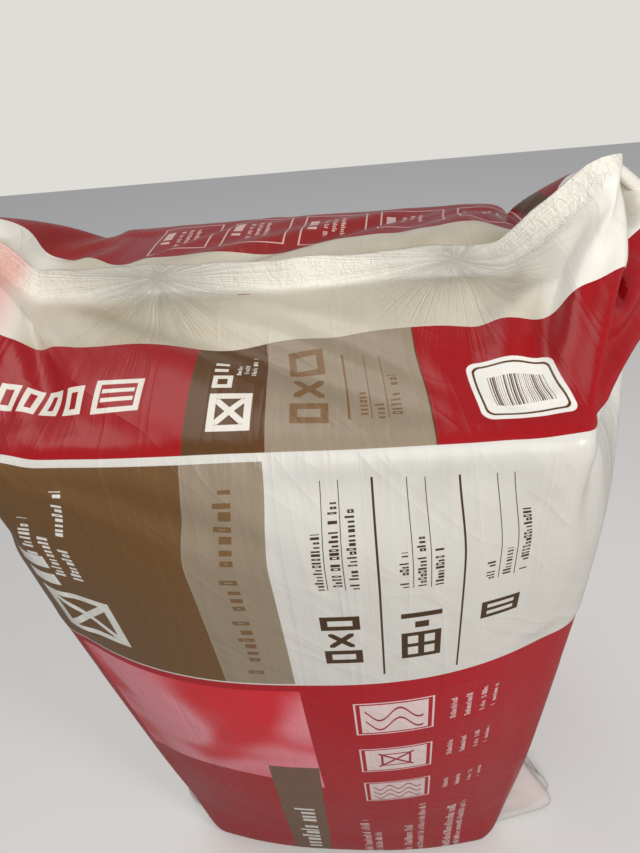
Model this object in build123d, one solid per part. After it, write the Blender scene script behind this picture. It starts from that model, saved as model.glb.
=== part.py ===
from build123d import *
from math import atan2, cos, sin, tan
import os

# A pack of stone wool batts, standing on end in a sleeve of printed film that is welded shut at both ends.
# Millimetres. +Z is up along the pack, the large printed front faces -Y, and the origin is
# on the floor under the middle of the pack.

# One batt as it is sold: 3 by 23 by 47 inches.
batt_thickness = 76.2
batt_width = 584.2
batt_length = 1193.8
batt_count = 8

# The film crushes the long edges of the outer batts, so the stack is shallower there than in the middle.
edge_squeeze = 0.87
corner_radius = 26.0
end_radius = 16.0
layer_gap = 0.3

# The film as a hollow skin with room for the stack. The sold film is 0.15 mm thick.
# It is tight on the front and back, and stands off the batts' ends by the side room.
film_wall = 1.0
film_clearance = 0.3
side_room = 30.0
sleeve_corner_radius = 44.0

# The welded end: the film rises like a low roof to the weld, and the spare film stands above it as a fin.
roof_rise = 34.0
roof_eave = 2.0
fin_height = 42.0
fin_root = 3.0

# The weld bends up this far out from the middle, and the ear's tip is this far out from the bend and above it.
weld_bend = batt_width / 2
ear_reach = 74.0
ear_rise = 100.0
ear_root = 40.0
fin_past_ear = 16.0
# The outer edge of an ear leaves the side this far below the stack's top, and runs straight out and up.
ear_drop = 340.0
ear_edge_reach = 80.0
ear_edge_rise = 30.0
# Above that edge a fold of loose film hangs over, out to here.
ear_fold_reach = 108.0
ear_fold_low = 58.0
ear_fold_high = 96.0
# Half the depth of an ear at its root, half way out, and at its outer edge and its fold.
ear_root_half_depth = 236.0
ear_middle = 46.0
ear_middle_half_depth = 160.0
ear_edge_half_depth = 76.0
ear_fold_half_depth = 46.0
# How much the ear's two faces fall away from the weld for each millimetre across.
ear_gable_slope = 0.42

# The lower ears lie on the floor, drawn towards the front, with a fold that stands up against the side.
foot_reach = 112.0
foot_thickness = 12.0
foot_shoulder_reach = 52.0
foot_shoulder_height = 62.0
foot_fold_reach = 12.0
foot_fold_height = 225.0
foot_front = 226.0
foot_back = 40.0
foot_tip_front = 196.0
foot_tip_back = 140.0
foot_fold_front = 186.0
foot_fold_back = 120.0

stack_depth_edge = batt_thickness * edge_squeeze * batt_count
stack_depth_middle = batt_thickness * batt_count
crown = (stack_depth_middle - stack_depth_edge) / 2
stack_base = film_wall + film_clearance
stack_top = stack_base + batt_length
# With three poles of this height between two pairs at nought, a sixth degree curve peaks at one.
crown_pole = 1.28


def crowned_surface(half_width, bottom, top, face_y):
    """A printed face: flush with its flat surround along all four edges and crowned in the middle."""
    poles = (0, 0, crown_pole, crown_pole, crown_pole, 0, 0)
    last = len(poles) - 1
    columns = [
        [
            (
                half_width * (2 * across / last - 1),
                face_y - crown * poles[across] * poles[up],
                bottom + (top - bottom) * up / last,
            )
            for up in range(last + 1)
        ]
        for across in range(last + 1)
    ]
    return Face.make_bezier_surface(columns)


def crowned_block(width, radius, grow):
    """The stack's outside at a width, grown by a distance: rounded edges, and crowned front and back faces."""
    half_depth = stack_depth_edge / 2 + grow
    block = Pos(0, 0, stack_base + batt_length / 2) * Box(
        width + 2 * grow, 2 * half_depth, batt_length + 2 * grow
    )
    block = fillet(block.edges().filter_by(Axis.Z), radius + grow)
    block = fillet(block.faces().filter_by(Axis.Z).edges(), end_radius + grow)
    flat_faces = block.faces().sort_by(Axis.Y)
    front = crowned_surface(width / 2 - radius, stack_base + end_radius, stack_top - end_radius, -half_depth)
    return Solid(Shell(flat_faces[1:-1] + [front, mirror(front, Plane.XZ)]))


def front_batt(index, stack):
    """A batt of the front half, counted from the front: the stack between two flat layer lines."""
    outside = stack_depth_middle if index == 0 else batt_thickness * (batt_count / 2 - index) - layer_gap / 2
    inside = batt_thickness * (batt_count / 2 - index - 1) + layer_gap / 2
    layer = Pos(0, -(outside + inside) / 2, stack_base + batt_length / 2) * Box(
        2 * batt_width, outside - inside, 2 * batt_length
    )
    return layer & stack


def grown_prism(plane, corners, grow, length):
    """A long prism on a plane, both ways from it, with its outline grown by a distance."""
    outline = make_face(Polyline(*corners, close=True))
    grown = offset(outline, amount=grow, kind=Kind.INTERSECTION)
    return extrude(plane * grown, amount=length, both=True)


def roof_form(grow):
    """The film above the stack's top, a low roof with its ridge at the weld."""
    half_depth = stack_depth_edge / 2 - sleeve_corner_radius
    gable = [
        (-half_depth, stack_top - end_radius),
        (half_depth, stack_top - end_radius),
        (half_depth, stack_top - roof_eave),
        (0, stack_top + roof_rise),
        (-half_depth, stack_top - roof_eave),
    ]
    return grown_prism(Plane.YZ, gable, grow, batt_width / 2 + side_room + grow)


def ear_form(grow):
    """One ear at +X, from three outlines: seen from the front, from above, and along the slope of its weld."""
    side = batt_width / 2 + side_room
    ridge = stack_top + roof_rise
    seen_from_front = [
        (side - ear_root, stack_top - ear_drop),
        (side, stack_top - ear_drop),
        (side + ear_edge_reach, stack_top + ear_edge_rise),
        (side + ear_fold_reach, stack_top + ear_fold_low),
        (side + ear_fold_reach, stack_top + ear_fold_high),
        (weld_bend + ear_reach, ridge + ear_rise),
        (weld_bend, ridge),
        (side - ear_root, ridge),
    ]
    one_half = [
        (side - ear_root, ear_root_half_depth),
        (side, ear_root_half_depth),
        (side + ear_middle, ear_middle_half_depth),
        (side + ear_edge_reach, ear_edge_half_depth),
        (side + ear_fold_reach, ear_fold_half_depth),
    ]
    seen_from_above = one_half + [(x, -y) for x, y in reversed(one_half)]
    seen_along_weld = [
        (0, 0),
        (batt_width, -ear_gable_slope * batt_width),
        (batt_width, -batt_length),
        (-batt_width, -batt_length),
        (-batt_width, -ear_gable_slope * batt_width),
    ]
    up_the_weld = Plane(origin=(weld_bend, 0, ridge), x_dir=(0, 1, 0), z_dir=(ear_reach, 0, ear_rise))
    return (
        grown_prism(Plane.XZ, seen_from_front, grow, batt_width)
        & grown_prism(Plane.XY, seen_from_above, grow, 2 * batt_length)
        & grown_prism(up_the_weld, seen_along_weld, grow, batt_width)
    )


def foot_form(grow):
    """One lower ear at +X, from its outlines seen from the front, from above and from the side."""
    side = batt_width / 2 + side_room
    floor = stack_base
    seen_from_front = [
        (side - ear_root, floor),
        (side + foot_reach, floor),
        (side + foot_reach, floor + foot_thickness),
        (side + foot_shoulder_reach, floor + foot_shoulder_height),
        (side + foot_fold_reach, floor + foot_fold_height),
        (side - ear_root, floor + foot_fold_height),
    ]
    seen_from_above = [
        (side - ear_root, -foot_front),
        (side + foot_shoulder_reach, -foot_front),
        (side + foot_reach, -foot_tip_front),
        (side + foot_reach, -foot_tip_back),
        (side + foot_shoulder_reach, -foot_back),
        (side - ear_root, -foot_back),
    ]
    seen_from_side = [
        (-foot_front, floor),
        (-foot_back, floor),
        (-foot_back, floor + foot_thickness),
        (-foot_fold_back, floor + foot_fold_height),
        (-foot_fold_front, floor + foot_fold_height),
        (-foot_front, floor + foot_thickness),
    ]
    return (
        grown_prism(Plane.XZ, seen_from_front, grow, batt_width)
        & grown_prism(Plane.XY, seen_from_above, grow, 2 * batt_length)
        & grown_prism(Plane.YZ, seen_from_side, grow, batt_width)
    )


def fin_form():
    """The spare film past the weld: two layers pressed flat, along the ridge and up both ears."""
    bend_x = weld_bend
    bend_z = stack_top + roof_rise + film_clearance + film_wall
    slope = atan2(ear_rise, ear_reach)
    along = (cos(slope), sin(slope))
    length = (ear_reach**2 + ear_rise**2) ** 0.5 + fin_past_ear

    def half_edge(above):
        """The bend and the end of a line at a distance above the weld, on the +X half."""
        bend = (bend_x - above * tan(slope / 2), bend_z + above)
        end = (bend_x + length * along[0] - above * along[1], bend_z + length * along[1] + above * along[0])
        return [bend, end]

    lower = half_edge(-fin_root)
    upper = half_edge(fin_height)
    right = lower + upper[::-1]
    left = [(-x, z) for x, z in reversed(right)]
    outline = make_face(Polyline(*[(x, 0, z) for x, z in right + left], close=True))
    return extrude(outline.face(), amount=film_wall, dir=(0, 1, 0), both=True)


def enclosure(grow):
    """The space inside a skin that stands off the stack by a distance: sleeve, roof, ears and lower ears."""
    sleeve = crowned_block(batt_width + 2 * side_room, sleeve_corner_radius, grow)
    one_side = ear_form(grow) + foot_form(grow)
    return sleeve + roof_form(grow) + one_side + mirror(one_side, Plane.YZ)


def film_bag():
    """The whole sleeve as one hollow piece, with its fin."""
    return enclosure(film_clearance + film_wall) + fin_form() - enclosure(film_clearance)


os.makedirs("parts", exist_ok=True)
stack = crowned_block(batt_width, corner_radius, 0)
for index in range(batt_count // 2):
    batt = front_batt(index, stack)
    export_step(batt, f"parts/batt_{index + 1}.step")
    export_step(mirror(batt, Plane.XZ), f"parts/batt_{batt_count - index}.step")
export_step(film_bag(), "parts/film_bag.step")
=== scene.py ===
# %% [markdown]
# # A pack of stone wool batts in a sleeve of printed film
#
# Eight grey-green batts stand on end inside a tube of glossy printed film. The tube is welded flat across
# each end, so at the top the film rises from all four sides to one straight weld, and the spare film of
# the two sides stands up and out as a pair of ears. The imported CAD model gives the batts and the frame.
# Here the film gets its real shape, creases, print and gloss.

from math import cos, pi, sin

import bmesh
import bpy
from mathutils import Matrix, Vector, noise


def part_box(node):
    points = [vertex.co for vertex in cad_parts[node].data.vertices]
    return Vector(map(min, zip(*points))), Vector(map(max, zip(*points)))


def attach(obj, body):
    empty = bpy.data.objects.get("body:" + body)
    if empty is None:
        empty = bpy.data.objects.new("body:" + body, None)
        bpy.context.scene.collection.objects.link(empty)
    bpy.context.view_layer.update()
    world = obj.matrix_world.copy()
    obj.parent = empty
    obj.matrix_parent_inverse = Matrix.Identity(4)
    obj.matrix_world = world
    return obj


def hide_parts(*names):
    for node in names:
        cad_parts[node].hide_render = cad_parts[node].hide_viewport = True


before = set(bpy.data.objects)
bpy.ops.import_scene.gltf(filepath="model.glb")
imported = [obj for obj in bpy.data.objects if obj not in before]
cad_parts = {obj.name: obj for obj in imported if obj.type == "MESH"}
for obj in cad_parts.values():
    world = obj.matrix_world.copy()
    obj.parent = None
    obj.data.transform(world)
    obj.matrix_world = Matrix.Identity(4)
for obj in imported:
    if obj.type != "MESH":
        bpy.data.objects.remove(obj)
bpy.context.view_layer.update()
batts_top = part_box("batt_1")[1].z
scene = bpy.context.scene
print("top of the batts", round(batts_top, 4))

# %% [markdown]
# ## Camera
# The photograph looks down at the top end from close by, a little from the right, and the phone was held
# slightly turned. The three angles are in radians. The focal length is in pixels of a picture 853 high, so
# it is changed to a lens length for Blender's 36 mm sensor, which fits the long side.

# %% Camera
picture_height = 853
focal_pixels = 599.2
look_down = 0.7282
turn_left = 0.1409
tilt = 0.1336
camera_place = (0.1101, -0.6456, batts_top + 0.3775)

camera_data = bpy.data.cameras.new("camera")
camera_data.sensor_width = 36
camera_data.lens = focal_pixels * 36 / picture_height
camera = bpy.data.objects.new("camera", camera_data)
scene.collection.objects.link(camera)
scene.camera = camera

forward = Vector((-sin(turn_left) * cos(look_down), cos(turn_left) * cos(look_down), -sin(look_down)))
level_right = Vector((cos(turn_left), sin(turn_left), 0))
level_down = forward.cross(level_right)
right = cos(tilt) * level_right + sin(tilt) * level_down
down = cos(tilt) * level_down - sin(tilt) * level_right
axes = Matrix((right, -down, -forward)).transposed()
camera.matrix_world = Matrix.Translation(camera_place) @ axes.to_4x4()
print("camera at", [round(v, 3) for v in camera.matrix_world.translation])

# %% [markdown]
# ## Floor and light
# A pale floor keeps the object's shadow, and the world behind it is a plain pale wall. Only the camera sees
# both that pale. Other rays meet a darker floor and a dimmer world, so that the gloss of the film mirrors
# them weakly and its inks stay deep. Soft lamps stand in for the daylight of an open garage door in front of
# the pack, and for the light from a gap at its side.

# %% Floor, backdrop and lamps
def new_object(name, data):
    """A new object in the scene."""
    made = bpy.data.objects.new(name, data)
    scene.collection.objects.link(made)
    return made


pale_floor = (0.78, 0.77, 0.75, 1)
mirrored_floor = (0.26, 0.24, 0.22, 1)
pale_wall = (0.74, 0.72, 0.68, 1)
daylight = (0.93, 0.95, 1.0, 1)
daylight_strength = 0.40

bm = bmesh.new()
bmesh.ops.create_grid(bm, x_segments=1, y_segments=1, size=4)
floor_mesh = bpy.data.meshes.new("floor")
bm.to_mesh(floor_mesh)
bm.free()
floor = new_object("floor", floor_mesh)
floor_material = bpy.data.materials.new("pale floor")
floor_material.use_nodes = True
nodes, links = floor_material.node_tree.nodes, floor_material.node_tree.links
rays = nodes.new("ShaderNodeLightPath")
floor_colour = nodes.new("ShaderNodeMix")
floor_colour.data_type = "RGBA"
floor_colour.inputs[6].default_value = mirrored_floor
floor_colour.inputs[7].default_value = pale_floor
links.new(rays.outputs["Is Camera Ray"], floor_colour.inputs[0])
links.new(floor_colour.outputs[2], nodes["Principled BSDF"].inputs["Base Color"])
nodes["Principled BSDF"].inputs["Roughness"].default_value = 0.6
floor_mesh.materials.append(floor_material)

world = bpy.data.worlds.new("daylight")
scene.world = world
world.use_nodes = True
nodes, links = world.node_tree.nodes, world.node_tree.links
nodes["Background"].inputs["Color"].default_value = daylight
nodes["Background"].inputs["Strength"].default_value = daylight_strength
wall = nodes.new("ShaderNodeBackground")
wall.inputs["Color"].default_value = pale_wall
rays = nodes.new("ShaderNodeLightPath")
either = nodes.new("ShaderNodeMixShader")
links.new(rays.outputs["Is Camera Ray"], either.inputs[0])
links.new(nodes["Background"].outputs[0], either.inputs[1])
links.new(wall.outputs[0], either.inputs[2])
links.new(either.outputs[0], nodes["World Output"].inputs["Surface"])


def soft_lamp(name, place, aim, size, power, colour):
    """A square area lamp at a place, aimed at a point."""
    data = bpy.data.lights.new(name, "AREA")
    data.shape = "SQUARE"
    data.size = size
    data.energy = power
    data.color = colour
    lamp = new_object(name, data)
    lamp.location = place
    lamp.rotation_euler = (Vector(aim) - Vector(place)).to_track_quat("-Z", "Y").to_euler()


soft_lamp("door light", (0.6, -2.6, 2.6), (0, 0, 0.9), 1.8, 54, (1.0, 0.98, 0.95))
soft_lamp("door gap light", (1.7, -1.1, 1.9), (0, 0, 0.9), 0.45, 13, (1.0, 0.97, 0.92))
soft_lamp("ceiling light", (-0.8, 0.6, 3.4), (0, 0, 1.0), 1.6, 23, (1.0, 0.97, 0.92))
scene.view_settings.view_transform = "Standard"
print("lamps", [lamp.name for lamp in bpy.data.lights])

# %% [markdown]
# ## The flat film
# The real film starts as a flat tube, 1155 mm wide when it is laid flat. A grid made by bmesh is that film
# cut open: across the grid runs round the pack, and along the grid runs up the pack. Each point keeps both
# distances, in metres, as its UV, so the print can be laid out on it as on paper.

# %% Sizes of the film
lay_flat_width = 1.155
round_pack = 2 * lay_flat_width
weld_reach = 0.278
columns = 184
top_row = 0.012
body_row = 0.026
free_from = -0.50
batt_height = 1.1938
under_reach = 0.27
# near the floor the rows are twice as close, for the lower ears
fine_middle = 0.115 - batt_height
fine_reach = 0.125

rows = []
height = -batt_height - under_reach
while height < free_from - body_row * 0.5:
    rows.append(height)
    height += body_row / 2 if abs(height - fine_middle) < fine_reach else body_row
steps = round((weld_reach - free_from) / top_row)
rows += [free_from + (weld_reach - free_from) * i / steps for i in range(steps + 1)]
print("film rows", len(rows), "columns", columns)


def clamped(value):
    """A value kept between nought and one."""
    return min(max(value, 0), 1)


def eased(part):
    """A part from nought to one that starts and ends softly."""
    return part * part * (3 - 2 * part)


# %% [markdown]
# ## The pack's cross-section
# Round the pack the film is a rectangle with rounded corners. Walking round it by arc length gives the place
# of each column, and the way out from it, without stretching the print.

# %% Cross-section
tube_half_width = 0.340
tube_corner = 0.058
tube_half_depth = (round_pack + (8 - 2 * pi) * tube_corner) / 4 - tube_half_width


def tube_place(around):
    """Place and outward direction on the rounded rectangle, at a distance round from the front's middle."""
    side = 1 if around >= 0 else -1
    distance = abs(around)
    flat_x = tube_half_width - tube_corner
    flat_y = tube_half_depth - tube_corner
    arc = tube_corner * pi / 2
    if distance <= flat_x:
        return side * distance, -tube_half_depth, 0, -1
    distance -= flat_x
    if distance <= arc:
        angle = distance / tube_corner
        way = (side * sin(angle), -cos(angle))
        return side * flat_x + tube_corner * way[0], -flat_y + tube_corner * way[1], *way
    distance -= arc
    if distance <= 2 * flat_y:
        return side * tube_half_width, -flat_y + distance, side, 0
    distance -= 2 * flat_y
    if distance <= arc:
        angle = distance / tube_corner
        way = (side * cos(angle), sin(angle))
        return side * flat_x + tube_corner * way[0], flat_y + tube_corner * way[1], *way
    distance -= arc
    return side * (flat_x - distance), tube_half_depth, 0, 1


# How far the printed faces stand out in the middle, in front and behind, and the two sides.
front_crown = 0.068
back_crown = 0.058
side_crown = 0.018
crown_half_width = 0.297
crown_half_depth = 0.262
crown_power = 2.6
# The crowns rise quickly below the top end and still faster above the floor.
upper_swell = 0.5
lower_swell = 0.28
body_half_width = 0.346
foot_half_width = 0.324
narrows_over = 0.45
# The long edges are crushed more below the top end than at it.
top_half_depth = 0.2690
edge_half_depth = 0.2560
# The film turns under the pack over this height, and is drawn in by so much at the sides and the faces.
hem = 0.03
hem_sides = 0.010
hem_faces = 0.004


def swell(below):
    """From nought at the top edge to one below the middle and back to nought at the floor."""
    part = clamped(-below / batt_height) ** 0.9
    power = upper_swell if part < 0.5 else lower_swell
    return sin(pi * part) ** power if 0 < part < 1 else 0


def crown_at(aside, half, below):
    """How much of its crown a face has, at a distance from its middle line and below the top edge."""
    return (1 - min(abs(aside) / half, 1) ** crown_power) * swell(below)


def half_depth_at(below):
    """Half the depth at the long edges, crushed least at the two ends."""
    part = clamped(min(-below / 0.30, (below + batt_height) / 0.20))
    return top_half_depth + (edge_half_depth - top_half_depth) * eased(part)


# The lower ear: loose film drawn out over the floor at both sides, towards the front, under a fold that
# climbs the side. These are its reach and height, and where its front end, point and back end are in y.
# The left one is a small copy of the right one.
foot_reach = 0.138
left_foot = 0.45
foot_height = 0.235
foot_front = -0.232
foot_point = -0.188
foot_back = -0.045


def foot_at(y, below):
    """How far the lower ear stands out from the side at a distance along the side and up it."""
    climb = max((below + batt_height) / foot_height, 0)
    if climb >= 1:
        return 0
    front = foot_front + 0.050 * climb
    point = foot_point + 0.040 * climb
    back = foot_back - 0.075 * climb
    if y <= front or y >= back:
        return 0
    part = (y - front) / (point - front) if y < point else (back - y) / (back - point)
    across = part**0.75 if y < point else part**1.25
    pleat = 1 + 0.10 * sin(y * 330 + 9 * climb) + 0.05 * sin(y * 610)
    return foot_reach * (1 - climb) ** 1.55 * sin(across * pi / 2) * pleat


def body_place(around, below):
    """Place of the film on the pack's body, at a distance round and a distance from the batts' top."""
    x, y, out_x, out_y = tube_place(around)
    low = clamped((below + batt_height) / narrows_over)
    half_width = foot_half_width + (body_half_width - foot_half_width) * (1 - (1 - low) ** 2)
    turned = clamped(1 - (below + batt_height) / hem) ** 2
    x += out_x * (half_width - tube_half_width - hem_sides * turned)
    y += out_y * (half_depth_at(below) - tube_half_depth - hem_faces * turned)
    y += out_y * (front_crown if out_y < 0 else back_crown) * crown_at(x, crown_half_width, below)
    x += out_x * side_crown * crown_at(y, crown_half_depth, below)
    x += out_x * foot_at(y, below) * (1.0 if out_x > 0 else left_foot)
    return Vector((x, y, batts_top + below))


print("half the tube's depth", round(tube_half_depth, 4))

# %% [markdown]
# ## The path of the weld
# The weld runs level over the middle of the top, bends up at both sides, and its ends fold over outwards and
# down. The points are read off the photograph, and the path is walked by arc length so that the film's
# width fits along it.

# %% Weld path
point_spacing = 0.004
weld_middle = (-0.015, 0, 0.021)
weld_right = [
    (0.160, 0, 0.024), (0.231, 0, 0.024), (0.258, 0, 0.027), (0.275, 0, 0.040), (0.295, 0, 0.059),
    (0.314, 0, 0.080), (0.332, 0, 0.103), (0.345, 0, 0.122), (0.358, 0.002, 0.133), (0.369, 0.012, 0.132),
    (0.372, 0.028, 0.128), (0.378, 0.046, 0.114), (0.379, 0.064, 0.098), (0.375, 0.080, 0.082),
    (0.368, 0.094, 0.066), (0.360, 0.106, 0.050),
]
weld_left = [
    (-0.156, 0, 0.027), (-0.225, 0, 0.028), (-0.300, 0, 0.031), (-0.323, 0, 0.036), (-0.335, 0, 0.050),
    (-0.347, 0, 0.070), (-0.361, 0, 0.094), (-0.372, 0.004, 0.114), (-0.384, 0.014, 0.124),
    (-0.394, 0.030, 0.120), (-0.398, 0.048, 0.106), (-0.397, 0.066, 0.090), (-0.392, 0.082, 0.074),
    (-0.384, 0.096, 0.058), (-0.374, 0.108, 0.042),
]
# The outer edge of each ear: the middle of the side leaves the pack here and runs straight up and out.
edge_leaves = -0.34
edge_end = {1: Vector((0.404, 0.0, 0.035)), -1: Vector((-0.412, 0.0, 0.020))}


def smooth_path(points, spacing):
    """A curve through the points, as closely spaced points with the distance walked to each."""
    dense = [Vector(points[0])]
    for i in range(len(points) - 1):
        a = Vector(points[max(i - 1, 0)])
        b = Vector(points[i])
        c = Vector(points[i + 1])
        d = Vector(points[min(i + 2, len(points) - 1)])
        count = max(2, round((c - b).length / spacing))
        for j in range(1, count + 1):
            t = j / count
            bend = 2 * b + (c - a) * t + (2 * a - 5 * b + 4 * c - d) * t**2
            dense.append(0.5 * (bend + (3 * b - a - 3 * c + d) * t**3))
    walked = [0]
    for i in range(1, len(dense)):
        walked.append(walked[-1] + (dense[i] - dense[i - 1]).length)
    return dense, walked


paths = {
    1: smooth_path([weld_middle] + weld_right, point_spacing),
    -1: smooth_path([weld_middle] + weld_left, point_spacing),
}


def along_weld(across):
    """Place on the weld at a signed distance from its middle, and the way that the weld runs there."""
    side = 1 if across >= 0 else -1
    dense, walked = paths[side]
    distance = min(abs(across), walked[-1] - 1e-6)
    i = next(k for k in range(1, len(walked)) if walked[k] >= distance)
    part = (distance - walked[i - 1]) / (walked[i] - walked[i - 1])
    way = (dense[i] - dense[i - 1]).normalized() * side
    return dense[i - 1].lerp(dense[i], part), way


weld_lengths = [round(walked[-1], 3) for dense, walked in paths.values()]
print("weld lengths", weld_lengths, "film needs", lay_flat_width / 2)


def across_weld(around):
    """The signed distance along the weld of a column: the front half directly, the back half mirrored."""
    quarter = round_pack / 4
    if around > quarter:
        return 2 * quarter - around
    if around < -quarter:
        return -2 * quarter - around
    return around


# %% [markdown]
# ## Closing the top end by simulation
# Folding film has a shape that is hard to draw by hand, so Blender's cloth does it as the packing machine
# does. The film starts as an open tube that stands above the batts. Its last row is pinned and is drawn
# to the weld path over some frames, and the rest follows, slides over the batts and takes its folds.

# %% Make the film tube
bm = bmesh.new()
bmesh.ops.create_grid(bm, x_segments=columns, y_segments=len(rows) - 1, size=1)
film_uv = bm.loops.layers.uv.new("film")
column_of = bm.verts.layers.int.new("column")
row_of = bm.verts.layers.int.new("row")
for vert in bm.verts:
    vert[column_of] = round((vert.co.x + 1) / 2 * columns)
    vert[row_of] = round((vert.co.y + 1) / 2 * (len(rows) - 1))


def around_of(column):
    return round_pack * (column / columns - 0.5)


for face in bm.faces:
    for loop in face.loops:
        loop[film_uv].uv = (around_of(loop.vert[column_of]), rows[loop.vert[row_of]])


def underside_place(around, below):
    """The film under the pack, folded flat from the bottom edge to the lower weld."""
    part = min((-batt_height - below) / under_reach, 1)
    edge = body_place(around, -batt_height)
    return Vector((edge.x * (1 - 0.18 * part), edge.y * (1 - part), 0.0002 + 0.0006 * (1 - part)))


for vert in bm.verts:
    around = around_of(vert[column_of])
    below = rows[vert[row_of]]
    if below < -batt_height:
        vert.co = underside_place(around, below)
    else:
        vert.co = body_place(around, min(below, 0))
        vert.co.z = batts_top + below
bmesh.ops.remove_doubles(bm, verts=bm.verts, dist=1e-5)
for vert in bm.verts:
    vert[column_of] %= columns
film_mesh = bpy.data.meshes.new("film_sleeve")
bm.to_mesh(film_mesh)
bm.free()
film = new_object("film_sleeve", film_mesh)
print("film points", len(film_mesh.vertices))

# %% Draw the weld together
side_pull = 0.26


def closed_end(film, frames, closing):
    """Simulates the film above the pinned body and returns the places of its points by column and row."""
    piece = film.copy()
    piece.data = film.data.copy()
    piece.name = "closing_film"
    scene.collection.objects.link(piece)
    first_row = next(i for i, below in enumerate(rows) if below >= free_from - 2.5 * body_row)
    bm = bmesh.new()
    bm.from_mesh(piece.data)
    row_of = bm.verts.layers.int["row"]
    bmesh.ops.delete(bm, geom=[v for v in bm.verts if v[row_of] < first_row], context="VERTS")
    bm.to_mesh(piece.data)
    bm.free()

    mesh = piece.data
    column_list = [a.value for a in mesh.attributes["column"].data]
    row_list = [a.value for a in mesh.attributes["row"].data]
    held = piece.vertex_groups.new(name="held")
    piece.shape_key_add(name="open")
    closed = piece.shape_key_add(name="closed")
    for i, vert in enumerate(mesh.vertices):
        around = around_of(column_list[i])
        below = rows[row_list[i]]
        if row_list[i] == len(rows) - 1:
            closed.data[i].co = along_weld(across_weld(around))[0] + Vector((0, 0, batts_top))
            held.add([i], 1, "REPLACE")
            continue
        x = tube_place(around)[0]
        face_hold = clamped((-0.05 - below) / 0.10) * clamped((0.24 - abs(x)) / 0.12)
        deep_hold = clamped((-0.10 - below) / 0.22)
        weight = max(face_hold, deep_hold)
        # the outer edge of an ear is pulled taut between the pack's side and the end of the weld
        side = 1 if around > 0 else -1
        off_edge = abs(abs(around) - round_pack / 4)
        start = Vector((side * (body_half_width + side_crown), 0, edge_leaves))
        length = (edge_end[side] - start).length
        if edge_leaves < below < edge_leaves + length:
            spot = start.lerp(edge_end[side], (below - edge_leaves) / length)
            shift = Vector((spot.x, 0, batts_top + spot.z)) - Vector((vert.co.x, 0, vert.co.z))
            closed.data[i].co = vert.co + shift * (1 - min(off_edge / side_pull, 1))
            weight = max(weight, 0.9 * clamped((0.05 - off_edge) / 0.04))
        if weight > 0:
            held.add([i], weight, "REPLACE")
    closed.value = 0
    closed.keyframe_insert("value", frame=1)
    closed.value = 1
    closed.keyframe_insert("value", frame=closing)

    bm = bmesh.new()
    bmesh.ops.create_cube(bm, size=1)
    bmesh.ops.scale(bm, verts=bm.verts, vec=(0.5892, 0.527, batt_height))
    rounding = {"offset": 0.018, "offset_type": "OFFSET", "segments": 4, "profile": 0.5}
    bmesh.ops.bevel(bm, geom=bm.edges[:], affect="EDGES", material=-1, **rounding)
    bmesh.ops.triangulate(bm, faces=bm.faces)
    bmesh.ops.translate(bm, verts=bm.verts, vec=(0, 0, batts_top + 0.002 - batt_height / 2))
    block_mesh = bpy.data.meshes.new("stack_block")
    bm.to_mesh(block_mesh)
    bm.free()
    block = new_object("stack_block", block_mesh)
    block.modifiers.new("block", "COLLISION")
    block.collision.thickness_outer = 0.003
    block.collision.cloth_friction = 3

    cloth = piece.modifiers.new("film", "CLOTH")
    settings = cloth.settings
    settings.quality = 7
    settings.mass = 0.05
    settings.air_damping = 3
    settings.tension_stiffness = 40
    settings.compression_stiffness = 40
    settings.shear_stiffness = 20
    settings.bending_stiffness = 0.6
    settings.tension_damping = 10
    settings.compression_damping = 10
    settings.shear_damping = 8
    settings.vertex_group_mass = "held"
    settings.pin_stiffness = 1
    settings.use_pressure = True
    settings.uniform_pressure_force = 5
    settings.effector_weights.gravity = 0
    cloth.collision_settings.use_collision = True
    cloth.collision_settings.distance_min = 0.003
    cloth.collision_settings.collision_quality = 2
    cloth.collision_settings.use_self_collision = False
    cloth.point_cache.frame_start = 1
    cloth.point_cache.frame_end = frames
    for frame_number in range(1, frames + 1):
        scene.frame_set(frame_number)
    evaluated = piece.evaluated_get(bpy.context.evaluated_depsgraph_get())
    settled = [vert.co.copy() for vert in evaluated.data.vertices]
    places = dict(zip(zip(column_list, row_list), settled))
    scene.frame_set(1)
    for gone in (piece, block):
        bpy.data.objects.remove(gone)
    return places


places = closed_end(film, 60, 36)
print("simulated points", len(places))

# %% Take over the simulated shape
bm = bmesh.new()
bm.from_mesh(film_mesh)
column_of = bm.verts.layers.int["column"]
row_of = bm.verts.layers.int["row"]
film_uv = bm.loops.layers.uv["film"]
for vert in bm.verts:
    part = clamped((rows[vert[row_of]] - free_from) / 0.26)
    settled = places.get((vert[column_of], vert[row_of]), vert.co)
    vert.co = vert.co.lerp(settled, eased(part))
free = [v for v in bm.verts if rows[v[row_of]] > free_from + 0.02 and v[row_of] < len(rows) - 1]
for _ in range(2):
    bmesh.ops.smooth_vert(bm, verts=free, factor=0.4, use_axis_x=True, use_axis_y=True, use_axis_z=True)


# %% [markdown]
# ## The fin
# Past the weld some spare film is left, two layers pressed together. It follows the weld, leans back a
# little, and crinkles where the weld gathers the film. It is made by drawing out the last edge of the sleeve
# in a few steps, and each new edge is placed from the weld's path.

# %% Draw out the fin
fin_steps = 5
fin_height = 0.042
film_half_gap = 0.0007
gathers = (-0.145, 0.233)
gather_reach = 0.06


def lean_at(across):
    """How far the fin leans back from the plane of the weld, in radians."""
    return 0.22 + 0.10 * sin(across * 9) + 0.75 * clamped((abs(across) - 0.36) / 0.09)


def crinkle_at(across):
    """How far the fin's free edge stands off its plane: waves, finer ones, and ripples at the gathers."""
    crinkle = 0.0075 * noise.noise(Vector((across * 24, 0, 3)))
    crinkle += 0.0030 * noise.noise(Vector((across * 80, 0, 7)))
    for gather in gathers:
        near = (across - gather) / gather_reach
        crinkle += 0.003 * sin(near * 14) / (1 + (near * 2.2) ** 2)
    return crinkle


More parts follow.
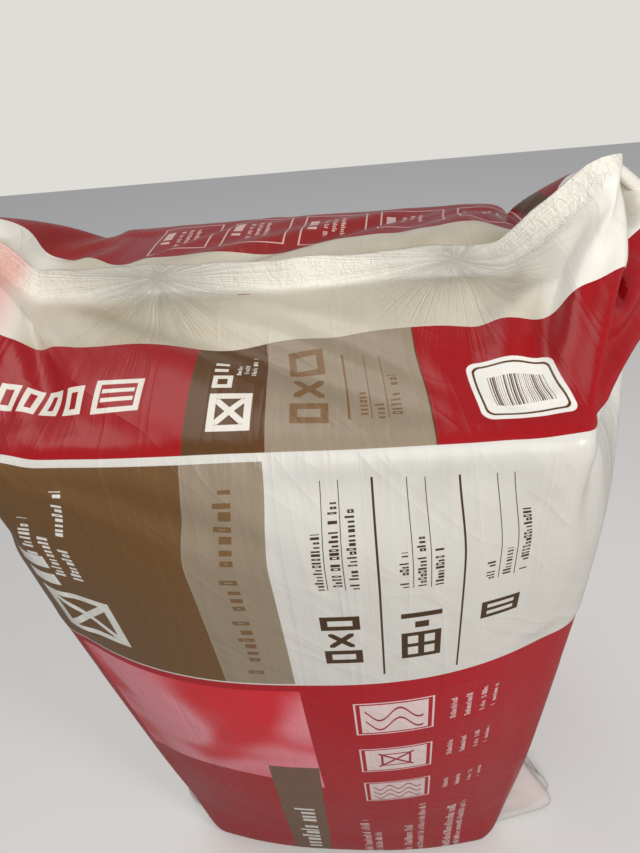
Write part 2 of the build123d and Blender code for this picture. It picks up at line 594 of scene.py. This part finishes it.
def fin_place(across, height, layer):
    """Place on the fin, along the weld and above it, on the front layer (-1) or the back one (1)."""
    place = along_weld(across)[0]
    ways = Vector((0, 0, 0))
    for step in range(-4, 5):
        ways += along_weld(across + step * 0.009)[1]
    way = ways.normalized()
    up = Vector((-way.z, 0, way.x))
    lean = lean_at(across)
    rise = up * cos(lean) + Vector((0, 1, 0)) * sin(lean)
    face = way.cross(rise).normalized()
    part = height / fin_height
    tip = clamped((abs(across) - 0.34) / 0.09)
    short = (0.92 + 0.10 * noise.noise(Vector((across * 14, 1, 0)))) * (1 - 0.45 * tip)
    lifted = place + rise * height * short + face * crinkle_at(across) * part * 1.4
    return lifted + Vector((0, layer * film_half_gap * (1 - part**4), batts_top))


def fin_spot(column, height):
    """Place on the fin for a column of the film."""
    around = around_of(column)
    return fin_place(across_weld(around), height, -1 if abs(around) < round_pack / 4 else 1)


top_row_number = len(rows) - 1
edges = [e for e in bm.edges if all(v[row_of] == top_row_number for v in e.verts)]
for vert in {v for e in edges for v in e.verts}:
    vert.co = fin_spot(vert[column_of], 0)
for step in range(1, fin_steps + 1):
    drawn = bmesh.ops.extrude_edge_only(bm, edges=edges)["geom"]
    for vert in [g for g in drawn if isinstance(g, bmesh.types.BMVert)]:
        vert.co = fin_spot(vert[column_of], fin_height * step / fin_steps)
        vert[row_of] = top_row_number + step
    for face in [g for g in drawn if isinstance(g, bmesh.types.BMFace)]:
        wraps = any(loop.vert[column_of] > columns * 0.75 for loop in face.loops)
        for loop in face.loops:
            column = columns if wraps and loop.vert[column_of] == 0 else loop.vert[column_of]
            above = (loop.vert[row_of] - top_row_number) * fin_height / fin_steps
            loop[film_uv].uv = (around_of(column), weld_reach + above)
    edges = [g for g in drawn if isinstance(g, bmesh.types.BMEdge)]
    edges = [e for e in edges if all(v[row_of] == top_row_number + step for v in e.verts)]
last = [v for v in bm.verts if v[row_of] == top_row_number + fin_steps]
bmesh.ops.remove_doubles(bm, verts=last, dist=0.0004)
bmesh.ops.recalc_face_normals(bm, faces=bm.faces)
bm.to_mesh(film_mesh)
bm.free()
for polygon in film_mesh.polygons:
    polygon.use_smooth = True
smooth = film.modifiers.new("smooth film", "SUBSURF")
smooth.levels = 1
smooth.render_levels = 1
print("film faces", len(film_mesh.polygons))

# %% [markdown]
# ## Helpers for materials
# A printed film is easiest to paint in the film's own coordinates: the distance round the pack and the
# distance up it, both kept in the UV map. Small helpers add the nodes, so that each mark on the film is one
# short line below.

# %% Node helpers
def new_node(kind, settings=(), values=()):
    """Adds a node to the tree at hand with its properties, and sets or links its inputs."""
    node = tree.nodes.new(kind)
    for name, value in settings:
        setattr(node, name, value)
    for name, value in values:
        if isinstance(value, bpy.types.NodeSocket):
            tree.links.new(value, node.inputs[name])
        else:
            node.inputs[name].default_value = value
    return node


def calc(operation, first, second=0.0, third=0.0, clamp=False):
    """One Math node. First, second and third may be numbers or sockets."""
    values = [(0, first), (1, second)] + ([(2, third)] if operation == "MULTIPLY_ADD" else [])
    return new_node("ShaderNodeMath", [("operation", operation), ("use_clamp", clamp)], values).outputs[0]


def times(first, second):
    """A product, and so also where two masks overlap."""
    return calc("MULTIPLY", first, second)


def minus(first, second):
    """A difference."""
    return calc("SUBTRACT", first, second)


def times_plus(first, second, third):
    """First times second, and third added."""
    return calc("MULTIPLY_ADD", first, second, third)


def unsigned(value):
    """A value without its sign."""
    return calc("ABSOLUTE", value)


def mixed(mask, under, over, blend="MIX"):
    """Colour over another colour where the mask is one."""
    node = new_node("ShaderNodeMix", [("data_type", "RGBA"), ("blend_type", blend)], [("Factor", mask)])
    for socket, value in ((node.inputs[6], under), (node.inputs[7], over)):
        if isinstance(value, bpy.types.NodeSocket):
            tree.links.new(value, socket)
        else:
            socket.default_value = (*value, 1)
    return node.outputs[2]


def ramp(value, low, high):
    """Nought at low, one at high, and smooth between. Low may be the larger of the two."""
    settings = [("interpolation_type", "SMOOTHSTEP")]
    values = [("Value", value), ("From Min", low), ("From Max", high)]
    return new_node("ShaderNodeMapRange", settings, values).outputs["Result"]


def noise_of(place, scale, detail, **more):
    """A noise texture over a place, from nought to one."""
    values = [("Vector", place), ("Scale", scale), ("Detail", detail)]
    values += [(name, value) for name, value in more.items()]
    return new_node("ShaderNodeTexNoise", (), values).outputs["Fac"]


def new_group(name, inputs, output):
    """An empty shader node group of numbers: the group, its inputs in order, and its one output."""
    group = bpy.data.node_groups.new(name, "ShaderNodeTree")
    for socket in inputs:
        group.interface.new_socket(socket, in_out="INPUT", socket_type="NodeSocketFloat")
    group.interface.new_socket(output, in_out="OUTPUT", socket_type="NodeSocketFloat")
    outputs = group.nodes.new("NodeGroupInput").outputs
    return group, [outputs[name] for name in inputs], group.nodes.new("NodeGroupOutput").inputs[0]


def placed(group, **values):
    """A group placed in the tree at hand with its own values. Its output comes back."""
    node = tree.nodes.new("ShaderNodeGroup")
    node.node_tree = group
    for name, value in values.items():
        socket = node.inputs[name.replace("_", " ")]
        if isinstance(value, bpy.types.NodeSocket):
            tree.links.new(value, socket)
        else:
            socket.default_value = value
    return node.outputs[0]


# %% [markdown]
# ## Printed marks
# Flexographic print is flat ink with crisp edges. A block is a rectangle of ink. A line of small print is a
# row of strokes with uneven widths and gaps. Each kind of mark is a shader node group that puts out a mask,
# so that the materials can use it many times.

# %% A block of ink
ink_edge = 0.0005
block_inputs = ("U", "V", "Left", "Right", "Low", "High")
tree, (u, v, left, right, low, high), result = new_group("ink block", block_inputs, "Mask")
block_group = tree
across = calc("MINIMUM", minus(u, left), minus(right, u))
up = calc("MINIMUM", minus(v, low), minus(high, v))
inside = calc("MINIMUM", across, up)
tree.links.new(calc("MULTIPLY_ADD", inside, 1 / ink_edge, 0.5, clamp=True), result)

# %% A rounded block
rounded_inputs = ("U", "V", "Middle U", "Middle V", "Half Width", "Half Height", "Round")
tree, inputs, result = new_group("rounded block", rounded_inputs, "Mask")
u, v, middle_u, middle_v, half_width, half_height, round_by = inputs
label_group = tree
aside = unsigned(minus(u, middle_u))
above = unsigned(minus(v, middle_v))
aside = calc("ADD", minus(aside, half_width), round_by)
above = calc("ADD", minus(above, half_height), round_by)
past_u = calc("MAXIMUM", aside, 0)
past_v = calc("MAXIMUM", above, 0)
corner = calc("SQRT", calc("ADD", times(past_u, past_u), times(past_v, past_v)))
deep = calc("MINIMUM", calc("MAXIMUM", aside, above), 0)
outside = minus(calc("ADD", corner, deep), round_by)
tree.links.new(calc("MULTIPLY_ADD", outside, -1 / ink_edge, 0.5, clamp=True), result)

# %% A line of small print
stroke_share = 0.86
tall_share = 0.42
hollow_share = 0.34
eye_gap = 0.20
arm = 0.28
tree, inputs, result = new_group("small print", (*block_inputs, "Letter"), "Mask")
u, v, left, right, low, high, letter = inputs
words_group = tree
# each letter's width along the line has one stroke, and its number gives it a chance from nought to one
walk = calc("DIVIDE", minus(v, low), letter)
within = calc("FRACT", walk)
seed = times_plus(left, 977.0, calc("FLOOR", walk))
chance = calc("FRACT", times(calc("SINE", times(seed, 12.99)), 437.58))
width = times_plus(calc("FRACT", times(chance, 37.3)), 0.42, 0.36)
stroke = calc("LESS_THAN", within, width)
# some strokes are shorter than the line is high
cap = minus(right, left)
short = calc("GREATER_THAN", calc("FRACT", times(chance, 91.7)), tall_share)
head = times_plus(times(short, cap), 0.30, left)
# and some are hollow
past_head = calc("GREATER_THAN", u, times_plus(cap, arm, head))
before_foot = calc("LESS_THAN", u, times_plus(cap, -arm, right))
eye_u = times(times(past_head, before_foot), calc("LESS_THAN", chance, hollow_share))
eye_to = minus(width, eye_gap)
eye_v = times(calc("GREATER_THAN", within, eye_gap), calc("LESS_THAN", within, eye_to))
solid = minus(1.0, times(eye_u, eye_v))
row = placed(block_group, U=u, V=v, Left=head, Right=right, Low=low, High=high)
mask = times(times(row, stroke), calc("LESS_THAN", chance, stroke_share))
tree.links.new(times(mask, solid), result)

# %% A row of bars
tree, inputs, result = new_group("thin bars", (*block_inputs, "Pitch"), "Mask")
u, v, left, right, low, high, pitch = inputs
bars_group = tree
walk = calc("DIVIDE", u, pitch)
chance = new_node("ShaderNodeTexWhiteNoise", [("noise_dimensions", "1D")], [("W", calc("FLOOR", walk))])
bar_width = times_plus(chance.outputs["Value"], 0.75, 0.15)
bar = calc("LESS_THAN", calc("FRACT", walk), bar_width)
row = placed(block_group, U=u, V=v, Left=left, Right=right, Low=low, High=high)
tree.links.new(times(row, bar), result)
print("ink groups", block_group.name, label_group.name, words_group.name, bars_group.name)

# %% [markdown]
# ## Where the print lies
# The same design is printed on both faces of the tube. Round the back the distance starts again from the
# back's middle. Just under the top edge the film is drawn in towards the ears, so the columns of the large
# panel close up there by a tenth. One shader can hold only so many marks, so the film has four materials,
# one above another: the ground, the panel, the band and the clear top.

# %% Start a film material
quarter = round_pack / 4
column_middle = 0.105
band_low, band_high, back_band_high = 0.005, 0.154, 0.174


def start_film(name):
    """A new film material, with the film's coordinates as sockets that every mark reads."""
    global tree, shader, film_place, around_u, height_v, is_back, in_front, face_u, panel_u, mottle
    material = bpy.data.materials.new(name)
    material.use_nodes = True
    film_mesh.materials.append(material)
    tree = material.node_tree
    shader = tree.nodes["Principled BSDF"]
    film_place = new_node("ShaderNodeUVMap", [("uv_map", "film")]).outputs["UV"]
    place = new_node("ShaderNodeSeparateXYZ", (), [("Vector", film_place)])
    around_u = place.outputs["X"]
    height_v = place.outputs["Y"]
    is_back = calc("GREATER_THAN", unsigned(around_u), quarter)
    in_front = minus(1.0, is_back)
    to_back = times(calc("SIGN", around_u), lay_flat_width)
    face_u = minus(around_u, times(to_back, is_back))
    stretch = times_plus(ramp(height_v, -0.125, 0.0), 0.10, 1.0)
    aside = minus(face_u, column_middle)
    panel_u = times_plus(aside, stretch, column_middle)
    mottle = noise_of(film_place, 9.0, 2.0)


# %% Ink colours
film_white = (0.60, 0.585, 0.545)
band_red = (0.30, 0.004, 0.007)
low_red = (0.37, 0.003, 0.012)
# the band's red again, darker and browner: painted shade on the back half of the top
back_red_painted_shade = (0.25, 0.012, 0.010)
sign_red = (0.30, 0.01, 0.03)
dark_brown = (0.094, 0.039, 0.010)
# the band's brown ink, lightened on the large panel: a painted warm reflection
panel_brown_painted_reflection = (0.142, 0.072, 0.026)
foot_brown = (0.160, 0.085, 0.050)
word_brown = (0.17, 0.095, 0.04)
white_ink = (0.76, 0.74, 0.69)
sign_ink = (0.055, 0.028, 0.010)


def inked(under, mask, colour):
    """The film's colour with one more ink printed on it."""
    return mixed(mask, under, colour)


def block(u, left, right, low, high, v=None):
    """A rectangle of ink, in millimetres from the middle of the face and from the top edge."""
    sides = {"Left": left / 1000, "Right": right / 1000, "Low": low / 1000, "High": high / 1000}
    return placed(block_group, U=u, V=v or height_v, **sides)


def small_print(u, left, right, low, high, letter):
    """A line of small print that runs up the film, in millimetres."""
    sides = {"Left": left / 1000, "Right": right / 1000, "Low": low / 1000, "High": high / 1000}
    return placed(words_group, U=u, V=height_v, Letter=letter / 1000, **sides)


def rounded(u, middle_u, middle_v, half_width, half_height, round_by):
    """A rounded rectangle of ink, in millimetres."""
    middle = {"Middle_U": middle_u / 1000, "Middle_V": middle_v / 1000}
    size = {"Half_Width": half_width / 1000, "Half_Height": half_height / 1000, "Round": round_by / 1000}
    return placed(label_group, U=u, V=height_v, **middle, **size)


def left_out(mask, gone):
    """A mask less another one."""
    return times(mask, minus(1.0, gone))


def frame_of(u, left, right, low, high, line):
    """The outline of a rectangle."""
    return left_out(
        block(u, left, right, low, high), block(u, left + line, right - line, low + line, high - line)
    )


def cross(u, middle_u, middle_v, half, line):
    """A diagonal cross."""
    aside = minus(u, middle_u / 1000)
    above = minus(height_v, middle_v / 1000)
    one_way = unsigned(calc("ADD", aside, above))
    other_way = unsigned(minus(aside, above))
    arms = calc("LESS_THAN", calc("MINIMUM", one_way, other_way), line / 1000)
    return times(arms, block(u, middle_u - half, middle_u + half, middle_v - half, middle_v + half))


def marks(kind, u, *places):
    """Marks of one kind, still to be made. Each place is what the kind's function takes after u."""
    return [(kind, u, *place) for place in places]


def printed(waiting):
    """One mask of many marks. Each is made and joined before the next, which keeps the shader small."""
    total = None
    for kind, *where in waiting:
        mask = kind(*where)
        total = mask if total is None else calc("MAXIMUM", total, mask)
    return total


def slanted_u(u, slope, v_from):
    """The distance round, leaning by a slope up the film, for marks and edges that aren't upright."""
    return times_plus(minus(height_v, v_from / 1000), slope, u)


def grainy_taupe():
    """The taupe ink, with a fine grain like paper."""
    grain = noise_of(film_place, 1400.0, 2.0)
    return mixed(ramp(grain, 0.35, 0.65), (0.228, 0.176, 0.122), (0.305, 0.245, 0.176))


# %% [markdown]
# ## Creases
# Polyethylene film is smooth and glossy, so what shows its shape is how its highlights break. Fine creases
# run up the film where it is stretched over the batts, broad soft ones cross them, and at the weld the film
# is gathered in sharp pleats that fan out from two places.

# %% Film creases
tree, inputs, result = new_group("film creases", ("U", "V", "Along", "Across", "Detail"), "Height")
u, v, along_count, across_count, detail = inputs
crease_group = tree
across = times(u, across_count)
along = times(v, along_count)
stretched = new_node("ShaderNodeCombineXYZ", (), [("X", across), ("Y", along)]).outputs["Vector"]
crease_noise = new_node(
    "ShaderNodeTexNoise",
    [("noise_dimensions", "2D")],
    [("Vector", stretched), ("Scale", 1.0), ("Detail", detail), ("Distortion", 0.5)],
)
ridge = unsigned(times_plus(crease_noise.outputs["Fac"], 2.0, -1.0))
tree.links.new(minus(1.0, calc("POWER", ridge, 0.6)), result)


def creases(u, v, along, across, detail):
    """Creases as a height. Along and across are how many there are to a metre each way."""
    return placed(crease_group, U=u, V=v, Along=float(along), Across=float(across), Detail=float(detail))


# %% Pleats from a gather
gather_v = 0.300
seal_pitch = 0.0032
tree, (u, v, gather, count), result = new_group("weld pleats", ("U", "V", "Gather", "Count"), "Height")
pleat_group = tree
aside = minus(u, gather)
drop = minus(gather_v, v)
turn = times(calc("ARCTAN2", aside, drop), count)
wobble = new_node("ShaderNodeTexNoise", [("noise_dimensions", "1D")], [("W", turn), ("Detail", 2.0)])
ridge = unsigned(times_plus(wobble.outputs["Fac"], 2.0, -1.0))
ridge = minus(1.0, calc("POWER", ridge, 0.7))
away = calc("ADD", unsigned(aside), drop)
tree.links.new(times(ridge, ramp(away, 0.26, 0.05)), result)


def finish_film(colour, at_top=False, has_fin=False):
    """Adds the creases, the gloss and the wear to a film material, over its printed colour."""
    streaks = creases(around_u, height_v, 1.6, 26, 1)
    fine_streaks = creases(around_u, height_v, 5, 110, 0)
    turned_u = times_plus(height_v, 0.8, around_u)
    turned_v = times_plus(around_u, -0.8, height_v)
    slants = creases(turned_u, turned_v, 4, 17, 1)
    height = times(streaks, 0.34)
    height = times_plus(fine_streaks, 0.055, height)
    height = times_plus(slants, 0.30, height)
    roughness = times_plus(mottle, 0.16, 0.22)
    if at_top:
        left_fan = placed(pleat_group, U=around_u, V=height_v, Gather=-0.145, Count=7.0)
        right_fan = placed(pleat_group, U=around_u, V=height_v, Gather=0.215, Count=6.0)
        fans = times(calc("ADD", left_fan, right_fan), ramp(height_v, 0.0, 0.10))
        height = times_plus(fans, 0.75, height)
    if has_fin:
        crackle = creases(around_u, height_v, 60, 95, 2)
        in_fin = ramp(height_v, 0.262, 0.280)
        height = times_plus(times(crackle, in_fin), 0.45, height)
        # the dotted seal of the weld
        dots_u = calc("SINE", times(around_u, 2 * pi / seal_pitch))
        dots_v = calc("SINE", times(height_v, 2 * pi / seal_pitch))
        seal = times(ramp(height_v, 0.270, 0.274), ramp(height_v, 0.292, 0.288))
        height = times_plus(times(times(dots_u, dots_v), seal), 0.05, height)
        roughness = times_plus(in_fin, 0.08, roughness)
    bump = new_node("ShaderNodeBump", (), [("Height", height), ("Strength", 0.75), ("Distance", 0.004)])
    tree.links.new(bump.outputs["Normal"], shader.inputs["Normal"])
    # the colour is lighter where the coarse and the fine crease ridges meet
    lighter_on_crease_ridges = calc("MULTIPLY_ADD", times(streaks, fine_streaks), 0.30, -0.06, clamp=True)
    colour = mixed(lighter_on_crease_ridges, colour, (0.75, 0.70, 0.66), "SOFT_LIGHT")
    worn = times(ramp(mottle, 0.62, 0.80), 0.10)
    colour = mixed(worn, colour, (0.0, 0.0, 0.0), "MULTIPLY")
    tree.links.new(colour, shader.inputs["Base Color"])
    tree.links.new(roughness, shader.inputs["Roughness"])
    shader.inputs["IOR"].default_value = 1.5
    shader.inputs["Specular IOR Level"].default_value = 0.26
    shader.inputs["Coat Weight"].default_value = 0.06
    shader.inputs["Coat Roughness"].default_value = 0.14
    print(film_mesh.materials[-1].name, "has", len(tree.nodes), "nodes")


# %% [markdown]
# ## The red ground
# The lower front has three framed signs in white with small print beside them. On its left is an area of
# soft shapes in pinks and reds, with a bowed edge. A slanted brown band crosses its foot. The lower ears are
# bare film.

# %% Ground
start_film("film ground")
soft = noise_of(film_place, 5.2, 1.5, Roughness=0.45, Distortion=0.6)
picture = mixed(ramp(soft, 0.36, 0.60), (0.60, 0.016, 0.030), (0.74, 0.24, 0.28))
bow = calc("SINE", times(face_u, 11.0))
bowed_v = times_plus(bow, 0.045, height_v)
colour = inked(low_red, block(face_u, -310, -6, -700, -200, v=bowed_v), picture)
band_u = slanted_u(face_u, -0.05, -600)
colour = inked(colour, block(band_u, -84, -6, -1300, -606), foot_brown)
colour = inked(colour, small_print(band_u, -62, -26, -1170, -790, 26), white_ink)
ground_marks = []
for low, high in ((-482, -390), (-622, -532), (-766, -672)):
    ground_marks += marks(frame_of, face_u, (58, 162, low, high, 2.6))
    ground_marks += marks(block, face_u, (66, 154, low + 6, high - 6))
for low, high in ((-474, -405), (-602, -545), (-752, -704)):
    for left, right in ((184, 192), (204, 212), (225, 232), (241, 247)):
        ground_marks += marks(small_print, face_u, (left, right, low, high, 4.6))
ground_marks += marks(
    small_print, face_u, (39, 55, -1180, -880, 9), (62, 76, -1180, -990, 6), (120, 136, -1180, -938, 9),
    (146, 158, -1180, -812, 6), (198, 214, -1180, -868, 9), (221, 233, -1180, -866, 6),
)
colour = inked(colour, printed(ground_marks), (0.70, 0.55, 0.54))


def wave(u, middle_v, reach, length, line):
    """A wavy line across a framed sign. Its middle height is in millimetres, and the rest in metres."""
    bend = calc("SINE", times(u, 2 * pi / length))
    level = times_plus(bend, reach, middle_v / 1000)
    gap = unsigned(minus(height_v, level))
    return times(calc("LESS_THAN", gap, line), block(u, 72, 148, -2000, 0))


sign_lines = marks(
    wave, face_u, (-424, 0.016, 0.052, 0.0026), (-452, 0.016, 0.052, 0.0026),
    (-700, 0.010, 0.030, 0.0022), (-722, 0.010, 0.030, 0.0022), (-744, 0.010, 0.030, 0.0022),
)
sign_lines += marks(cross, face_u, (110, -577, 26, 3.2))
sign_lines += marks(frame_of, face_u, (88, 132, -600, -554, 3.5))
colour = inked(colour, printed(sign_lines), sign_red)
foot_edge = times_plus(mottle, 0.10, -1.06)
at_sides = block(unsigned(around_u), 340, 600, -1500, -960)
bare_film = mixed(ramp(mottle, 0.4, 0.62), (0.70, 0.60, 0.57), (0.76, 0.74, 0.71))
colour = inked(colour, times(at_sides, calc("LESS_THAN", height_v, foot_edge)), bare_film)
finish_film(colour)

# %% [markdown]
# ## The large panel
# Below the top edge the front has a brown, a taupe and a white column. Each of the three parts of the white
# column has a large sign at its foot, and three lines of small print with thin rules. The signs are plain
# drawings: two studs and a cross, a grid for the covered area, and a pile of batts. The taupe column has one
# long line of large print, and the brown one the white section of a batt, drawn as builders draw it.

# %% Panel
start_film("film panel")
colour = inked(film_white, block(face_u, -600, 600, -1300, -341), low_red)
# the brown column is the brown ink lightened by a painted reflection
colour = inked(colour, block(panel_u, -352, -95, -338, -2), panel_brown_painted_reflection)
colour = inked(colour, block(panel_u, -95, -8.5, -338, -2), grainy_taupe())
rules = marks(
    block, panel_u, (99, 101.4, -320, -20), (185, 187.2, -326, -23), (47.6, 48.5, -150, -21),
    (65.6, 66.5, -151, -21), (134, 134.9, -155, -22), (152, 152.9, -158, -23), (221.6, 222.5, -166, -24),
    (238, 238.9, -166, -24),
)
lines = marks(
    small_print, panel_u, (36, 45, -150, -74, 5), (54, 63.5, -150, -43, 5), (71, 80.5, -150, -50, 5),
    (121, 130, -154, -103, 5), (139, 147.5, -154, -84, 5), (156.5, 165, -156, -103, 5),
    (209, 217.5, -165, -137, 5), (226, 234.5, -163, -122, 5), (243.5, 251.5, -162, -69, 5),
)
studs = marks(frame_of, panel_u, (34, 77, -291, -264, 8), (34, 77, -223, -197, 8))
studs += marks(cross, panel_u, (55, -243.5, 14, 5.2))
covered_area = marks(frame_of, panel_u, (121, 165, -290, -238, 7))
covered_area += marks(
    block, panel_u, (139.5, 146.5, -290, -238), (121, 165, -267.5, -260.5), (136, 151, -229, -217),
    (121, 165, -209, -200),
)
pile = marks(frame_of, panel_u, (208, 250, -238, -206, 6.5)) + marks(block, panel_u, (208, 250, -225, -219))
colour = inked(colour, printed(rules + lines + studs + covered_area + pile), sign_ink)
taupe_lines = marks(
    small_print, panel_u, (-62, -43, -315, -222, 14), (-62, -43, -212, -150, 14), (-62, -43, -140, -24, 14)
)
colour = inked(colour, printed(taupe_lines), word_brown)
section = marks(frame_of, panel_u, (-302, -212, -300, -206, 12)) + marks(cross, panel_u, (-257, -253, 36, 7))
section += marks(block, panel_u, (-302, -266, -190, -168), (-302, -266, -156, -134))
section += marks(
    small_print, panel_u, (-283, -270, -161, -69, 7), (-262, -249, -166, -88, 7), (-240, -227, -167, -26, 7)
)
colour = inked(colour, printed(section), white_ink)
finish_film(colour)

# %% [markdown]
# ## The band over the batts' ends
# Above the edge the print goes on over the batts' ends as a band of the same columns, with red at both
# sides. On the red is a rounded white label with a row of bars, whose widths come from chance. The strip on
# the far side has five outlined boxes.

# %% Band
start_film("film band")
band_top = times_plus(is_back, back_band_high - band_high, band_high)
below_top = calc("LESS_THAN", height_v, band_top)
in_band = times(ramp(height_v, band_low - 0.0003, band_low + 0.0003), below_top)
lean = slanted_u(around_u, 0.03, 5)
# the back half of the band takes the darker red, which is painted shade
band_colour = mixed(is_back, band_red, back_red_painted_shade)
band_colour = inked(band_colour, block(around_u, -74, 5, -10, 300), dark_brown)
band_colour = inked(band_colour, block(lean, 5, 160, -10, 300), grainy_taupe())
band_colour = inked(band_colour, block(lean, 160, 161.5, -10, 300), dark_brown)
band_colour = inked(band_colour, times(is_back, block(face_u, -366, -334, -10, 300)), dark_brown)
section = marks(frame_of, around_u, (-52, -10, 27, 72, 7), (-52, -32, 80, 98, 5))
section += marks(cross, around_u, (-31, 49.5, 15, 4.5))
section += marks(block, around_u, (-52, -38, 104, 109), (-52, -38, 115, 120))
section += marks(
    small_print, around_u, (-29, -24.5, 99, 118, 3.4), (-21.5, -17, 99, 122, 3.4), (-14, -9.5, 99, 137, 3.4)
)
# a pile of batts in a frame, and blocks beside it
pile = marks(
    frame_of, around_u, (-172, -122, 56, 97, 6), (-206, -184, 58, 92, 7), (-234, -214, 58, 92, 7),
    (-262, -240, 58, 92, 7), (-292, -268, 58, 92, 7), (-320, -300, 58, 92, 7),
)
pile += marks(block, around_u, (-164, -130, 69, 74), (-164, -130, 80, 85))
band_colour = inked(band_colour, printed(section + pile), (0.70, 0.66, 0.58))
studs = marks(frame_of, lean, (28, 65, 33, 58, 7.5), (28, 65, 104, 136, 7.5))
studs += marks(cross, lean, (47, 81, 15, 5.6))
rules = marks(block, lean, (83, 85.4, 37, 124), (105, 105.9, 37, 122), (121, 121.9, 37, 120))
lines = marks(small_print, lean, (93, 102.5, 36, 75, 6), (109, 118, 37, 62, 6), (125, 134.5, 36, 91, 6))
band_colour = inked(band_colour, printed(studs + rules + lines), (0.175, 0.095, 0.038))
band_colour = inked(band_colour, rounded(around_u, 250, 66, 46, 38.5, 11), white_ink)
label_line = left_out(rounded(around_u, 250, 66, 41, 33.5, 8), rounded(around_u, 250, 66, 38.6, 31.1, 7))
band_colour = inked(band_colour, label_line, dark_brown)
bars_at = {"Left": 0.222, "Right": 0.280, "Low": 0.046, "High": 0.084, "Pitch": 0.0021}
bars = placed(bars_group, U=around_u, V=height_v, **bars_at)
band_colour = inked(band_colour, bars, (0.12, 0.075, 0.045))

box_pitch = 0.111
box_count = 5
first_box = -0.3365
from_first = minus(face_u, first_box)
box_number = calc("FLOOR", calc("DIVIDE", from_first, box_pitch))
box_middle = times_plus(box_number, box_pitch, box_pitch / 2)
in_box = minus(from_first, box_middle)
after_first = calc("GREATER_THAN", box_number, -0.5)
before_last = calc("LESS_THAN", box_number, box_count - 0.5)
is_box = times(times(after_first, before_last), is_back)
box_marks = marks(frame_of, in_box, (-46, 46, 36, 148, 2.2))
box_marks += marks(block, in_box, (24, 37, 60, 92), (24, 37, 100, 108))
box_marks += marks(small_print, in_box, (8, 14, 56, 122, 5), (-4, 2, 56, 110, 5), (-16, -10, 56, 118, 5))
band_colour = inked(band_colour, times(is_box, printed(box_marks)), (0.62, 0.42, 0.38))

# %% [markdown]
# ## The clear film over the top, the ears and the fin
# Above the band the film has no ink but a thin white. Over the batts it is painted a warm grey, darker to
# the left, as painted shade of the top. Where it stands free of the batts, in the ears and in the fin, it is
# a bright cream. A little red glows through at the left ear.

# %% Clear film
def clear_film():
    """The colour of the film that has no print, with painted shade over the batts."""
    near_middle = ramp(unsigned(face_u), 0.335, 0.275)
    # over the batts the film is painted a warm grey, darker to the left: painted shade of the top
    painted_shade_over_batts = times(near_middle, ramp(height_v, 0.285, 0.245))
    grey = mixed(ramp(face_u, 0.05, -0.30), (0.51, 0.465, 0.36), (0.43, 0.37, 0.26))
    grey = mixed(ramp(mottle, 0.35, 0.75), grey, (0.56, 0.52, 0.42))
    cream = mixed(ramp(mottle, 0.3, 0.7), (0.82, 0.795, 0.725), (0.73, 0.70, 0.62))
    clear = mixed(painted_shade_over_batts, cream, grey)
    clear = mixed(ramp(height_v, 0.274, 0.282), clear, (0.80, 0.77, 0.68))
    pink = times(times(ramp(face_u, -0.305, -0.345), ramp(face_u, -0.50, -0.42)), in_front)
    return mixed(times(pink, 0.75), clear, (0.70, 0.36, 0.32))


colour = mixed(calc("LESS_THAN", height_v, band_low), clear_film(), film_white)
colour = inked(colour, in_band, band_colour)
finish_film(colour, at_top=True)

# %% Clear top
start_film("clear film")
colour = inked(clear_film(), times(in_front, block(around_u, -41, -26, 255, 259)), (0.25, 0.02, 0.03))
finish_film(colour, at_top=True, has_fin=True)

# %% Give each height its material
panel_from, band_from, clear_from = -0.36, 0.0, 0.185
uv_data = film_mesh.uv_layers["film"].data
counts = [0, 0, 0, 0]
for polygon in film_mesh.polygons:
    middle = sum(uv_data[i].uv.y for i in polygon.loop_indices) / polygon.loop_total
    polygon.material_index = (middle > panel_from) + (middle > band_from) + (middle > clear_from)
    counts[polygon.material_index] += 1
print("faces of ground, panel, band and clear film", counts)

# %% [markdown]
# ## The batts
# The batts are hidden in the film, but they keep the look of stone wool for anyone who takes the film off:
# a grey-green felt of fine fibres that lie along each layer.

# %% Stone wool
wool = bpy.data.materials.new("stone wool")
wool.use_nodes = True
tree = wool.node_tree
wool_shader = tree.nodes["Principled BSDF"]
wool_place = new_node("ShaderNodeTexCoord").outputs["Object"]
fibre_place = new_node("ShaderNodeMapping", (), [("Vector", wool_place), ("Scale", (70, 320, 110))])
fibres = noise_of(fibre_place.outputs["Vector"], 1.0, 6.0, Roughness=0.7)
clumps = noise_of(wool_place, 22.0, 3.0)
wool_colour = mixed(ramp(fibres, 0.3, 0.7), (0.115, 0.110, 0.070), (0.30, 0.285, 0.20))
wool_colour = mixed(ramp(clumps, 0.45, 0.7), wool_colour, (0.22, 0.20, 0.13))
tree.links.new(wool_colour, wool_shader.inputs["Base Color"])
wool_shader.inputs["Roughness"].default_value = 0.95
wool_bump = new_node("ShaderNodeBump", (), [("Height", fibres), ("Strength", 0.6), ("Distance", 0.003)])
tree.links.new(wool_bump.outputs["Normal"], wool_shader.inputs["Normal"])
batts = [node for name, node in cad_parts.items() if name.startswith("batt")]
for batt in batts:
    batt.data.materials.clear()
    batt.data.materials.append(wool)
print("batts with stone wool", len(batts))

# %% Place and finish
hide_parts("film_bag")
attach(film, "root")
